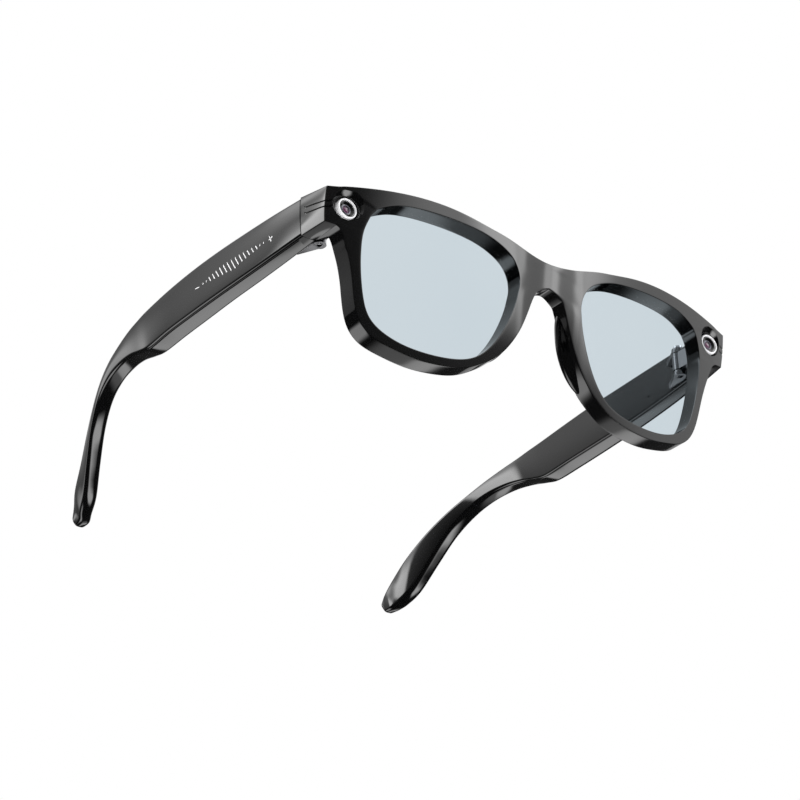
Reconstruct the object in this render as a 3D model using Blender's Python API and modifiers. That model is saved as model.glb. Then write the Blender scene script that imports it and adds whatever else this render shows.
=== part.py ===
"""Smart glasses: a moulded front with two cameras, two lenses and two folding temples.

Every size below is in millimetres, in the front's own axes: x runs to the wearer's left, y runs
back along the temples, z runs up, and zero lies halfway between the two camera centres. An empty
called glasses carries every part and sets the assembly down on z = 0, centred in x and y.
"""

import math

import bmesh
import bpy
from mathutils import Matrix, Vector

MM = 0.001
GAP = 0.3

# Where the camera line stands over the surface the glasses stand on, and how far in front of
# the middle of the whole object it lies.
CAMERA_HEIGHT = 38.08
CAMERA_TO_MIDDLE = 74.7

# The front face bends round the head and leans back towards its lower edge.
FACE_START = -6.25
FACE_BEND = 1.256e-3
FACE_WRAP = 0.558e-7
FACE_LEAN = -0.214
RIM_DEPTH = 5.5
EDGE_ROUND = 0.55

# Endpieces: the corners that carry the cameras and reach back to the hinges.
SEAM_Y = 12.4
ENDPIECE_INSIDE = 69.8
ENDPIECE_FOOT = 68.6

LENS_SETBACK = 2.1
LENS_THICKNESS = 1.6
LENS_BITE = 0.6

CAMERA_X = 67.3
RECESS_RADIUS = 4.2
RECESS_FLOOR = 2.6
RING_RADIUS = 3.2
RING_WALL = 0.6
WINDOW_THICKNESS = 0.8
BARREL_RADIUS = 2.1
BAY_RADIUS = 2.6

HINGE_X = 67.3
HINGE_Y = 14.6
KNUCKLE_RADIUS = 2.1
KNUCKLE_LOW, KNUCKLE_HIGH = -3.2, 2.4
LUG_THICKNESS = 1.5
SCREW_RADIUS = 0.65
SCREW_HEAD_RADIUS = 1.3

# Temple bays: the walls of the shell, and the stretch that the inner cover closes.
SHELL_WALL = 1.2
SHELL_RIM = 1.7
BAY_START, BAY_END = 26.0, 86.0
COVER_THICKNESS = 0.9

BUTTON_Y, BUTTON_LENGTH, BUTTON_WIDTH, BUTTON_PROUD = 31.0, 9.0, 2.2, 0.5

LEFT, RIGHT = 1, -1
SIDES = (("left", LEFT), ("right", RIGHT))


def face_y(x, z):
    """Where the front face lies."""
    return FACE_START + FACE_BEND * x**2 + FACE_WRAP * x**4 + FACE_LEAN * z


# ---------------------------------------------------------------- scene, materials, objects


def clear_scene():
    for obj in list(bpy.data.objects):
        bpy.data.objects.remove(obj, do_unlink=True)
    for collection in list(bpy.data.collections):
        bpy.data.collections.remove(collection)


def collection_named(name):
    collection = bpy.data.collections.new(name)
    bpy.context.scene.collection.children.link(collection)
    return collection


def material(name, colour, roughness, metallic=0.0, transmission=0.0):
    made = bpy.data.materials.new(name)
    made.use_nodes = True
    shader = made.node_tree.nodes["Principled BSDF"]
    shader.inputs["Base Color"].default_value = (*colour, 1.0)
    shader.inputs["Roughness"].default_value = roughness
    shader.inputs["Metallic"].default_value = metallic
    shader.inputs["Transmission Weight"].default_value = transmission
    made.diffuse_color = (*colour, 1.0)
    return made


clear_scene()
PARTS = collection_named("smart_glasses")
CUTTERS = collection_named("cutters")
CARRIER = bpy.data.objects.new("glasses", None)
CARRIER.location = (0, -CAMERA_TO_MIDDLE * MM, CAMERA_HEIGHT * MM)
PARTS.objects.link(CARRIER)

GLOSS_BLACK = material("gloss_black_plastic", (0.012, 0.012, 0.014), 0.12)
SATIN_BLACK = material("satin_black_plastic", (0.02, 0.02, 0.022), 0.4)
CLEAR_LENS = material("clear_lens", (0.78, 0.83, 0.88), 0.03, transmission=0.9)
WINDOW_GLASS = material("window_glass", (0.03, 0.035, 0.05), 0.05)
WHITE_RING = material("white_ring", (0.82, 0.82, 0.84), 0.25)
STEEL = material("steel", (0.45, 0.45, 0.47), 0.3, metallic=1.0)
GOLD = material("gold_plating", (0.8, 0.6, 0.25), 0.25, metallic=1.0)
BOARD_GREEN = material("circuit_board", (0.03, 0.12, 0.06), 0.5)
POLYIMIDE = material("polyimide_flex", (0.45, 0.2, 0.03), 0.4)
FOIL = material("battery_foil", (0.6, 0.6, 0.62), 0.35, metallic=0.8)


def finish(obj, look, helper=False):
    """Gives the object its material, its parent and its collection."""
    for collection in list(obj.users_collection):
        collection.objects.unlink(obj)
    (CUTTERS if helper else PARTS).objects.link(obj)
    if helper:
        obj.hide_render = True
        obj.display_type = "WIRE"
    obj.data.materials.clear()
    obj.data.materials.append(look)
    obj.parent = CARRIER
    return obj


def object_from(name, bm, look, helper=False):
    """Closes a bmesh in millimetres, faces outward, and makes it an object."""
    bmesh.ops.recalc_face_normals(bm, faces=bm.faces)
    if bm.calc_volume(signed=True) < 0:
        bmesh.ops.reverse_faces(bm, faces=bm.faces)
    bmesh.ops.scale(bm, vec=(MM, MM, MM), verts=bm.verts)
    mesh = bpy.data.meshes.new(name)
    bm.to_mesh(mesh)
    bm.free()
    return finish(bpy.data.objects.new(name, mesh), look, helper)


def add_bevel(obj, width, segments=1, angle=35):
    bevel = obj.modifiers.new("edge_round", "BEVEL")
    bevel.width = width * MM
    bevel.segments = segments
    bevel.limit_method = "ANGLE"
    bevel.angle_limit = math.radians(angle)
    bevel.use_clamp_overlap = True
    return bevel


def boolean(obj, other, operation="DIFFERENCE"):
    modifier = obj.modifiers.new(operation.lower(), "BOOLEAN")
    modifier.operation = operation
    modifier.solver = "EXACT"
    modifier.object = other


def box(name, low, high, look, helper=False, side=LEFT, round_edges=0.0):
    """A block between two corners; side -1 mirrors it to the wearer's right."""
    bm = bmesh.new()
    bmesh.ops.create_cube(bm, size=1.0)
    size = [b - a for a, b in zip(low, high)]
    middle = [(a + b) / 2 for a, b in zip(low, high)]
    bmesh.ops.scale(bm, vec=size, verts=bm.verts)
    bmesh.ops.translate(bm, vec=(side * middle[0], middle[1], middle[2]), verts=bm.verts)
    obj = object_from(name, bm, look, helper)
    if round_edges:
        add_bevel(obj, round_edges)
    return obj


def cylinder(name, start, end, radius, look, helper=False, sides=28, end_radius=None):
    """A round bar or cone from one point to another."""
    start, end = Vector(start), Vector(end)
    axis = end - start
    bm = bmesh.new()
    bmesh.ops.create_cone(
        bm,
        cap_ends=True,
        segments=sides,
        radius1=radius,
        radius2=radius if end_radius is None else end_radius,
        depth=axis.length,
    )
    turn = axis.to_track_quat("Z", "Y").to_matrix().to_4x4()
    bmesh.ops.transform(bm, matrix=Matrix.Translation((start + end) / 2) @ turn, verts=bm.verts)
    return object_from(name, bm, look, helper)


def smooth(values, at):
    """A smooth curve through (position, value, ...) rows, read at one position."""
    last = len(values) - 1
    i = min(max(sum(1 for row in values if row[0] <= at) - 1, 0), last - 1)
    p0, p1 = values[max(i - 1, 0)], values[i]
    p2, p3 = values[i + 1], values[min(i + 2, last)]
    t = (at - p1[0]) / (p2[0] - p1[0])
    result = []
    for a, b, c, d in zip(p0[1:], p1[1:], p2[1:], p3[1:]):
        slope_in = (c - a) / 2
        slope_out = (d - b) / 2
        result.append(
            b * (2 * t**3 - 3 * t**2 + 1)
            + slope_in * (t**3 - 2 * t**2 + t)
            + c * (3 * t**2 - 2 * t**3)
            + slope_out * (t**3 - t**2)
        )
    return result


def loft(name, rings, look, helper=False):
    """A closed skin over rings of equal count, capped at both ends."""
    bm = bmesh.new()
    rows = [[bm.verts.new(point) for point in ring] for ring in rings]
    count = len(rows[0])
    for a, b in zip(rows, rows[1:]):
        for i in range(count):
            j = (i + 1) % count
            bm.faces.new((a[i], a[j], b[j], b[i]))
    bm.faces.new(rows[0])
    bm.faces.new(rows[-1])
    return object_from(name, bm, look, helper)


# ---------------------------------------------------------------- front frame

# Stations round one lens opening, from the outer side over the brow to the bridge and back
# under the lens: opening x, z, then outer edge x, z. A corner is marked where the edge turns.
SMOOTH, CORNER = 0, 1
RIM_STATIONS = (
    (62.9, -9.0, 67.2, -10.6, SMOOTH),
    (62.7, -6.4, 68.6, -7.2, SMOOTH),
    (62.4, -4.9, 70.3, -5.6, SMOOTH),
    (62.0, -3.6, 73.6, -5.1, CORNER),
    (61.2, -1.8, 74.1, 0.2, SMOOTH),
    (60.2, -0.4, 74.0, 5.2, CORNER),
    (59.2, 0.7, 70.3, 5.6, SMOOTH),
    (58.2, 1.7, 68.2, 6.1, SMOOTH),
    (53.0, 3.8, 58.6, 7.3, SMOOTH),
    (47.5, 4.5, 50.5, 7.9, SMOOTH),
    (42.0, 4.6, 43.0, 8.0, SMOOTH),
    (36.0, 4.4, 36.0, 7.6, SMOOTH),
    (30.0, 3.9, 29.5, 6.7, SMOOTH),
    (24.0, 3.0, 23.0, 5.4, SMOOTH),
    (18.5, 1.2, 16.5, 4.2, SMOOTH),
    (14.5, -1.2, 8.5, 2.1, SMOOTH),
    (12.4, -4.0, 0.0, 1.6, CORNER),
    (11.6, -6.4, 0.0, -2.0, SMOOTH),
    (11.4, -8.6, 0.0, -5.5, CORNER),
    (11.5, -11.0, 4.7, -8.2, SMOOTH),
    (12.0, -13.8, 6.9, -13.6, SMOOTH),
    (13.6, -18.7, 9.2, -19.9, SMOOTH),
    (16.3, -24.5, 12.5, -25.8, SMOOTH),
    (19.5, -29.2, 16.5, -30.6, SMOOTH),
    (23.5, -32.8, 21.4, -33.9, SMOOTH),
    (28.5, -34.9, 27.0, -36.6, SMOOTH),
    (35.0, -35.8, 34.0, -37.8, SMOOTH),
    (42.0, -35.8, 42.0, -38.0, SMOOTH),
    (48.5, -34.9, 49.8, -36.7, SMOOTH),
    (54.5, -32.8, 56.9, -34.6, SMOOTH),
    (58.4, -29.6, 61.1, -30.7, SMOOTH),
    (60.6, -25.0, 63.2, -25.2, SMOOTH),
    (62.0, -19.0, 64.5, -19.0, SMOOTH),
    (62.7, -13.8, 65.9, -14.0, SMOOTH),
)
# The stations whose back reaches to the seam with the temple: outer edge x and z there.
SEAM_STATIONS = {
    2: (70.0, -5.4),
    3: (74.9, -5.3),
    4: (75.0, 0.5),
    5: (74.9, 6.4),
    6: (70.0, 6.2),
}
STEPS_BETWEEN = 2
ROW_SHARES = (0.0, 1 / 3, 2 / 3, 1.0)


def between(points, corners, i, t):
    """A Catmull-Rom point after point i of a closed loop, with its tangent broken at corners."""
    n = len(points)
    p1, p2 = points[i], points[(i + 1) % n]
    p0 = p1 + (p1 - p2) if corners[i] else points[i - 1]
    p3 = p2 + (p2 - p1) if corners[(i + 1) % n] else points[(i + 2) % n]
    return (
        p1 * (2 * t**3 - 3 * t**2 + 1)
        + (p2 - p0) / 2 * (t**3 - 2 * t**2 + t)
        + p2 * (3 * t**2 - 2 * t**3)
        + (p3 - p1) / 2 * (t**3 - t**2)
    )


def rim_outlines(steps):
    """The opening's outline and the outer outline, as matching lists of (x, z) vectors."""
    inner = [Vector(row[0:2]) for row in RIM_STATIONS]
    outer = [Vector(row[2:4]) for row in RIM_STATIONS]
    marks = [row[4] for row in RIM_STATIONS]
    none = [SMOOTH] * len(marks)
    pairs = []
    for i in range(len(marks)):
        for step in range(steps):
            t = step / steps
            pairs.append((between(inner, none, i, t), between(outer, marks, i, t)))
    return pairs


def seam_share(place):
    """How much of the outer edge's back belongs to the seam, at a place between stations."""
    first, last = min(SEAM_STATIONS), max(SEAM_STATIONS)
    return 1.0 if first <= place <= last else 0.0


def seam_point(place):
    rows = [(i, *point) for i, point in sorted(SEAM_STATIONS.items())]
    return smooth(rows, place)


def front_grid(steps):
    """Front and back rows of points round one opening, from the opening to the outer edge."""
    rows = []
    for k, (inner, outer) in enumerate(rim_outlines(steps)):
        place = k / steps
        to_seam = seam_share(place)
        shares = list(ROW_SHARES)
        if to_seam:
            width = outer.x - inner.x
            shares[1] = (ENDPIECE_FOOT - inner.x) / width
            shares[2] = (ENDPIECE_INSIDE - inner.x) / width
        front, back = [], []
        for row, share in enumerate(shares):
            x, z = inner.lerp(outer, min(share, 1.0))
            front.append((x, face_y(x, z), z))
            back_y = face_y(x, z) + RIM_DEPTH
            if to_seam and row == 3:
                seam_x, seam_z = seam_point(place)
                back.append((seam_x, SEAM_Y, seam_z))
            elif to_seam and row == 2:
                seam_z = seam_point(place)[1]
                back.append((min(x, ENDPIECE_INSIDE), SEAM_Y, z + (seam_z - outer.y) * share))
            else:
                back.append((x, back_y, z))
        rows.append((front, back))
    return rows


def half_front():
    """The wearer's left half, open where it meets the mirror plane."""
    bm = bmesh.new()
    rows = [
        ([bm.verts.new(p) for p in front], [bm.verts.new(p) for p in back])
        for front, back in front_grid(STEPS_BETWEEN)
    ]
    on_plane = 1e-6
    for (front_a, back_a), (front_b, back_b) in zip(rows, rows[1:] + rows[:1]):
        for j in range(len(ROW_SHARES) - 1):
            bm.faces.new((front_a[j], front_a[j + 1], front_b[j + 1], front_b[j]))
            bm.faces.new((back_a[j], back_b[j], back_b[j + 1], back_a[j + 1]))
        bm.faces.new((front_a[0], front_b[0], back_b[0], back_a[0]))
        if front_a[-1].co.x > on_plane or front_b[-1].co.x > on_plane:
            bm.faces.new((front_a[-1], back_a[-1], back_b[-1], front_b[-1]))
    bmesh.ops.remove_doubles(bm, verts=bm.verts, dist=0.01)
    bmesh.ops.recalc_face_normals(bm, faces=bm.faces)
    bmesh.ops.scale(bm, vec=(MM, MM, MM), verts=bm.verts)
    mesh = bpy.data.meshes.new("front_frame")
    bm.to_mesh(mesh)
    bm.free()
    return finish(bpy.data.objects.new("front_frame", mesh), GLOSS_BLACK)


def lens_solid(name, side, grow, setback, thickness, look, helper=False, steps=2, rings=3):
    """A curved plate that fills the opening and reaches past its edge by grow."""
    outline = [pair[0] for pair in rim_outlines(steps)]
    centre = sum(outline, Vector((0, 0))) / len(outline)
    n = len(outline)
    grown = []
    for i, point in enumerate(outline):
        along = outline[(i + 1) % n] - outline[i - 1]
        outward = Vector((along.y, -along.x)).normalized()
        if outward.dot(point - centre) < 0:
            outward.negate()
        grown.append(point + outward * grow)
    bm = bmesh.new()
    layers = []
    for depth in (setback, setback + thickness):
        middle = bm.verts.new((side * centre.x, face_y(*centre) + depth, centre.y))
        layer = []
        for ring in range(1, rings + 1):
            points = [centre.lerp(p, ring / rings) for p in grown]
            layer.append([bm.verts.new((side * p.x, face_y(*p) + depth, p.y)) for p in points])
        for i in range(n):
            bm.faces.new((middle, layer[0][i], layer[0][(i + 1) % n]))
        for a, b in zip(layer, layer[1:]):
            for i in range(n):
                j = (i + 1) % n
                bm.faces.new((a[i], a[j], b[j], b[i]))
        layers.append(layer[-1])
    for i in range(n):
        j = (i + 1) % n
        bm.faces.new((layers[0][i], layers[0][j], layers[1][j], layers[1][i]))
    return object_from(name, bm, look, helper)


# The line that the camera cable follows: over the bridge, then midway up the brow.
BROW_LINE = (
    (0.0, -0.9),
    (9.0, 0.2),
    *((row[2], (row[1] + row[3]) / 2) for row in reversed(RIM_STATIONS[8:15])),
)
BROW_REACH = 57.0
BROW_STEP = 4.0
FLEX_WIDTH = 0.7
FLEX_GROOVE_DEPTH = 1.15


def brow_strip(name, width, near, far, reach, look, helper=False):
    """A band along the back of the brow, from one side over the bridge to the other."""
    count = int(2 * reach / BROW_STEP)
    rings = []
    for i in range(count + 1):
        x = -reach + 2 * reach * i / count
        z = smooth(BROW_LINE, abs(x))[0]
        back = face_y(x, z) + RIM_DEPTH
        low, high = z - width / 2, z + width / 2
        deep, shallow = back - far, back - near
        rings.append(((x, deep, low), (x, shallow, low), (x, shallow, high), (x, deep, high)))
    return loft(name, rings, look, helper)


def make_front():
    front = half_front()
    mirror = front.modifiers.new("other_half", "MIRROR")
    mirror.use_clip = True
    mirror.merge_threshold = 0.00005
    add_bevel(front, EDGE_ROUND)
    for label, side in SIDES:
        groove = lens_solid(
            f"lens_groove_{label}",
            side,
            LENS_BITE + GAP,
            LENS_SETBACK - GAP,
            LENS_THICKNESS + 2 * GAP,
            GLOSS_BLACK,
            helper=True,
        )
        boolean(front, groove)
        floor = face_y(CAMERA_X, 0) + RECESS_FLOOR
        ahead, behind = floor - 8, floor + 12
        centre = side * CAMERA_X
        recess = cylinder(
            f"recess_{label}",
            (centre, floor, 0),
            (centre, ahead, 0),
            RECESS_RADIUS,
            GLOSS_BLACK,
            helper=True,
        )
        bay = cylinder(
            f"camera_bay_{label}",
            (centre, ahead, 0),
            (centre, behind, 0),
            BAY_RADIUS,
            GLOSS_BLACK,
            helper=True,
        )
        boolean(front, recess)
        boolean(front, bay)
    groove = brow_strip(
        "flex_groove",
        FLEX_WIDTH + 2 * GAP,
        -2.0,
        FLEX_GROOVE_DEPTH,
        BROW_REACH + GAP,
        GLOSS_BLACK,
        helper=True,
    )
    boolean(front, groove)
    cable_far = FLEX_GROOVE_DEPTH - GAP
    brow_strip("front_flex_cable", FLEX_WIDTH, 0.7, cable_far, BROW_REACH, POLYIMIDE)
    brow_strip("brow_cover", FLEX_WIDTH, 0.0, 0.4, BROW_REACH, SATIN_BLACK)


# ---------------------------------------------------------------- cameras


def make_camera(label, side):
    centre = side * CAMERA_X
    floor = face_y(CAMERA_X, 0) + RECESS_FLOOR

    def bar(name, start, end, radius, look, helper=False, end_radius=None):
        return cylinder(
            name,
            (centre, start, 0),
            (centre, end, 0),
            radius,
            look,
            helper,
            sides=36,
            end_radius=end_radius,
        )

    ring_front = floor - GAP - 2.0
    ring = bar(f"camera_ring_{label}", floor - GAP, ring_front, RING_RADIUS, WHITE_RING)
    bore = bar(
        f"ring_bore_{label}",
        floor,
        ring_front - 1,
        RING_RADIUS - RING_WALL,
        WHITE_RING,
        helper=True,
    )
    boolean(ring, bore)
    window_radius = RING_RADIUS - RING_WALL - GAP
    window_back = ring_front + 0.3 + WINDOW_THICKNESS
    bar(f"camera_window_{label}", window_back, ring_front + 0.3, window_radius, WINDOW_GLASS)
    barrel_front = window_back + GAP
    barrel = bar(f"camera_module_{label}", barrel_front, floor + 2.3, BARREL_RADIUS, SATIN_BLACK)
    sensor = bar(f"sensor_{label}", floor + 1.8, floor + 2.6, BARREL_RADIUS + 0.15, SATIN_BLACK, True)
    boolean(barrel, sensor, "UNION")


# ---------------------------------------------------------------- nose pads

PAD_MIDDLE = (13.4, -21.5)
PAD_RADII = (2.2, 5.4, 10.6)
PAD_LEAN = math.radians(-17)
PAD_BACK = 0.35


def make_nose_pad(label, side):
    bm = bmesh.new()
    bmesh.ops.create_uvsphere(bm, u_segments=20, v_segments=14, radius=1.0)
    bmesh.ops.scale(bm, vec=PAD_RADII, verts=bm.verts)
    bmesh.ops.rotate(bm, matrix=Matrix.Rotation(PAD_LEAN, 3, "Y"), verts=bm.verts)
    x, z = PAD_MIDDLE
    back = face_y(x, z) + RIM_DEPTH + PAD_BACK
    bmesh.ops.translate(bm, vec=(x, back - 1.2, z), verts=bm.verts)
    cut = bmesh.ops.bisect_plane(
        bm,
        geom=bm.verts[:] + bm.edges[:] + bm.faces[:],
        plane_co=(x, back, z),
        plane_no=(0, -1, FACE_LEAN),
        clear_outer=True,
    )
    edges = [item for item in cut["geom_cut"] if isinstance(item, bmesh.types.BMEdge)]
    bmesh.ops.edgeloop_fill(bm, edges=edges)
    if side == RIGHT:
        bmesh.ops.scale(bm, vec=(-1, 1, 1), verts=bm.verts)
    object_from(f"nose_pad_{label}", bm, GLOSS_BLACK)


# ---------------------------------------------------------------- hinges

LUG_REACH_BACK = 24.0
LEAF_START_BACK = 17.2


def hinge_bar(name, low, high, radius, side, look, helper=False):
    centre = side * HINGE_X
    return cylinder(name, (centre, HINGE_Y, low), (centre, HINGE_Y, high), radius, look, helper)


def make_hinge(label, side):
    inner_face = ENDPIECE_INSIDE - GAP
    knuckle = hinge_bar(
        f"hinge_front_{label}", KNUCKLE_LOW, KNUCKLE_HIGH, KNUCKLE_RADIUS, side, SATIN_BLACK
    )
    leaf = box(
        f"front_leaf_{label}",
        (HINGE_X - 1.6, 8.3, KNUCKLE_LOW),
        (inner_face - 1.4, HINGE_Y, KNUCKLE_HIGH),
        SATIN_BLACK,
        helper=True,
        side=side,
    )
    boolean(knuckle, leaf, "UNION")

    low_lug = KNUCKLE_LOW - GAP - LUG_THICKNESS
    high_lug = KNUCKLE_HIGH + GAP
    lug_faces = ((low_lug, KNUCKLE_LOW - GAP), (high_lug, high_lug + LUG_THICKNESS))
    top = lug_faces[1][1]
    temple_part = box(
        f"hinge_temple_{label}",
        (HINGE_X - 0.6, LEAF_START_BACK, low_lug),
        (inner_face, LUG_REACH_BACK, top),
        SATIN_BLACK,
        side=side,
    )
    for i, (low, high) in enumerate(lug_faces):
        boss = hinge_bar(f"lug_{i}_{label}", low, high, KNUCKLE_RADIUS, side, SATIN_BLACK, True)
        arm = box(
            f"arm_{i}_{label}",
            (HINGE_X - 0.9, HINGE_Y, low),
            (inner_face - 0.1, LEAF_START_BACK + 1, high),
            SATIN_BLACK,
            helper=True,
            side=side,
        )
        boolean(temple_part, arm, "UNION")
        boolean(temple_part, boss, "UNION")

    hole = hinge_bar(
        f"screw_hole_{label}", low_lug - 2, top + 2, SCREW_RADIUS + GAP, side, STEEL, True
    )
    boolean(knuckle, hole)
    boolean(temple_part, hole)
    screw = hinge_bar(f"hinge_screw_{label}", low_lug + 0.4, top + 0.6, SCREW_RADIUS, side, STEEL)
    head = hinge_bar(
        f"screw_head_{label}", top + GAP, top + 1.0, SCREW_HEAD_RADIUS, side, STEEL, True
    )
    boolean(screw, head, "UNION")


# ---------------------------------------------------------------- temples

# Side view of a temple from the seam to the tip: top y, z, bottom y, z, then the outer face's
# x and the thickness there.
TEMPLE_STATIONS = (
    (12.7, 6.7, 12.7, -5.6, 75.0, 5.3),
    (24.0, 7.0, 24.0, -6.3, 76.1, 5.8),
    (36.0, 7.2, 36.0, -6.8, 77.0, 6.1),
    (49.0, 7.3, 49.0, -7.1, 77.8, 6.3),
    (61.0, 7.1, 61.0, -7.3, 78.3, 6.6),
    (73.5, 6.4, 73.5, -7.5, 78.6, 6.7),
    (85.5, 5.5, 84.0, -7.8, 78.4, 6.4),
    (91.8, 5.0, 89.5, -6.7, 77.9, 6.0),
    (97.5, 4.3, 95.9, -5.0, 77.4, 5.8),
    (104.4, 3.2, 103.2, -4.1, 76.4, 5.7),
    (111.8, 1.6, 111.8, -4.6, 75.1, 5.6),
    (119.2, -0.8, 120.4, -7.4, 73.2, 5.3),
    (127.0, -4.2, 128.2, -13.0, 70.7, 5.1),
    (135.2, -9.2, 134.9, -21.2, 67.9, 5.0),
    (143.2, -15.8, 140.8, -29.0, 65.2, 4.9),
    (149.6, -21.9, 145.4, -32.2, 63.4, 4.5),
    (154.0, -26.2, 149.6, -33.6, 62.6, 3.9),
    (156.2, -29.6, 153.6, -33.4, 62.2, 3.2),
)
TEMPLE_STEPS = 2
CORNER_ROUND = 1.1
BELLY = 0.25


def temple_station(place):
    """Top, bottom, outer x and thickness at a place counted in stations."""
    rows = [(i, *row) for i, row in enumerate(TEMPLE_STATIONS)]
    top_y, top_z, low_y, low_z, outer, thick = smooth(rows, place)
    return Vector((top_y, top_z)), Vector((low_y, low_z)), outer, thick


def temple_ring(place, side):
    """A rounded section: down the outer face, across, and up the inner face."""
    top, low, outer, thick = temple_station(place)
    tall = (top - low).length
    cut = min(CORNER_ROUND, 0.42 * thick, 0.42 * tall) / tall
    narrow = min(CORNER_ROUND, 0.42 * thick)
    profile = (
        (outer, cut),
        (outer + BELLY, 0.5),
        (outer, 1 - cut),
        (outer - 0.3 * narrow, 1 - 0.3 * cut),
        (outer - narrow, 1.0),
        (outer - thick + narrow, 1.0),
        (outer - thick + 0.3 * narrow, 1 - 0.3 * cut),
        (outer - thick, 1 - cut),
        (outer - thick, cut),
        (outer - thick + 0.3 * narrow, 0.3 * cut),
        (outer - thick + narrow, 0.0),
        (outer - narrow, 0.0),
        (outer - 0.3 * narrow, 0.3 * cut),
    )
    ring = []
    for x, share in profile:
        y, z = top.lerp(low, share)
        ring.append((side * x, y, z))
    return ring


def temple_at(y):
    """Top z, bottom z, outer x and thickness of the straight part, at a distance y."""
    rows = [(row[0], row[1], row[3], row[4], row[5]) for row in TEMPLE_STATIONS[:9]]
    return smooth(rows, y)


def temple_block(name, side, span, across, up, look, helper=False, step=6.0):
    """A slab that follows the temple: across is measured in from the outer face, and up is the
    clearance below the top and above the bottom."""
    start, end = span
    count = max(2, int((end - start) / step))
    rings = []
    for i in range(count + 1):
        y = start + (end - start) * i / count
        top, low, outer, thick = temple_at(y)
        near, far = (value if value >= 0 else thick + value for value in across)
        x0, x1 = side * (outer - near), side * (outer - far)
        z0, z1 = low + up[1], top - up[0]
        rings.append(((x0, y, z0), (x1, y, z0), (x1, y, z1), (x0, y, z1)))
    return loft(name, rings, look, helper)


def make_temple(label, side):
    count = (len(TEMPLE_STATIONS) - 1) * TEMPLE_STEPS
    rings = [temple_ring(i / TEMPLE_STEPS, side) for i in range(count + 1)]
    shell = loft(f"temple_shell_{label}", rings, GLOSS_BLACK)
    bay = temple_block(
        f"bay_{label}",
        side,
        (BAY_START, BAY_END),
        (SHELL_WALL, 8.0),
        (SHELL_RIM, SHELL_RIM),
        GLOSS_BLACK,
        helper=True,
    )
    boolean(shell, bay)
    slot_start, slot_end = BAY_END - 10, BAY_END - 4
    slot = temple_block(
        f"sound_slot_{label}",
        side,
        (slot_start, slot_end),
        (2.0, 3.0),
        (8.0, -3.0),
        GLOSS_BLACK,
        helper=True,
    )
    boolean(shell, slot)
    cover = temple_block(
        f"temple_cover_{label}",
        side,
        (BAY_START + GAP, BAY_END - GAP),
        (-COVER_THICKNESS, -0.001),
        (SHELL_RIM + GAP, SHELL_RIM + GAP),
        SATIN_BLACK,
    )
    inset = SHELL_RIM + 2 * GAP
    temple_block(
        f"speaker_{label}",
        side,
        (BAY_END - 13, BAY_END - 1.5),
        (SHELL_WALL + GAP, -COVER_THICKNESS - GAP),
        (inset + 1.5, inset),
        SATIN_BLACK,
    )
    return shell, cover


def make_left_electronics():
    inset = SHELL_RIM + 2 * GAP
    temple_block(
        "battery_left",
        LEFT,
        (32.0, 71.0),
        (SHELL_WALL + GAP, -COVER_THICKNESS - GAP),
        (inset, inset),
        FOIL,
    )


def make_right_electronics(shell, cover):
    inset = SHELL_RIM + 2 * GAP
    film, board = 0.25, 0.7
    film_depth = SHELL_WALL + GAP
    temple_block(
        "touch_sensor_right",
        RIGHT,
        (38.0, 71.0),
        (film_depth, film_depth + film),
        (inset, inset),
        POLYIMIDE,
    )
    board_depth = film_depth + film + GAP
    temple_block(
        "main_board_right",
        RIGHT,
        (38.0, 71.0),
        (board_depth, board_depth + board),
        (inset, inset),
        BOARD_GREEN,
    )
    make_button(shell)
    make_contacts(cover)


def make_button(shell):
    """A push button in the top of the wearer's right temple."""
    top, _, outer, thick = temple_at(BUTTON_Y)
    middle = outer - thick / 2
    half_long, half_wide = BUTTON_LENGTH / 2, BUTTON_WIDTH / 2
    hole = box(
        "button_hole",
        (middle - half_wide - GAP, BUTTON_Y - half_long - GAP, top - SHELL_RIM - 1),
        (middle + half_wide + GAP, BUTTON_Y + half_long + GAP, top + 2),
        GLOSS_BLACK,
        helper=True,
        side=RIGHT,
    )
    boolean(shell, hole)
    box(
        "capture_button",
        (middle - half_wide, BUTTON_Y - half_long, top - 1.5),
        (middle + half_wide, BUTTON_Y + half_long, top + BUTTON_PROUD),
        GLOSS_BLACK,
        side=RIGHT,
        round_edges=0.3,
    )


CONTACT_PLACES = (30.0, 34.0)


def make_contacts(cover):
    """Two charging contacts in the inner cover of the wearer's right temple."""
    for i, y in enumerate(CONTACT_PLACES):
        _, _, outer, thick = temple_at(y)
        inner = outer - thick

        def pin(name, start, end, radius, helper, at=y):
            return cylinder(
                name,
                (RIGHT * start, at, 0.2),
                (RIGHT * end, at, 0.2),
                radius,
                GOLD,
                helper,
                sides=20,
            )

        hole = pin(f"contact_hole_{i}", inner - 2, inner + 3, 1.0 + GAP, True)
        boolean(cover, hole)
        pin(f"charging_contact_{i + 1}", inner, inner + 1.5, 1.0, False)


# ---------------------------------------------------------------- assembly

make_front()
for side_label, side_sign in SIDES:
    lens_solid(
        f"lens_{side_label}", side_sign, LENS_BITE, LENS_SETBACK, LENS_THICKNESS, CLEAR_LENS
    )
    make_camera(side_label, side_sign)
    make_nose_pad(side_label, side_sign)
    make_hinge(side_label, side_sign)

make_temple("left", LEFT)
make_left_electronics()
make_right_electronics(*make_temple("right", RIGHT))
bpy.context.view_layer.update()
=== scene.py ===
# %% [markdown]
# # Smart glasses
#
# This lesson dresses a mechanical model of a pair of smart glasses. Each step adds one
# visible piece, shaped in edit mode, and ties it to the body that it moves with.

import math

import bmesh
import bpy
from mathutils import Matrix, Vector
from mathutils.kdtree import KDTree


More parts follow.
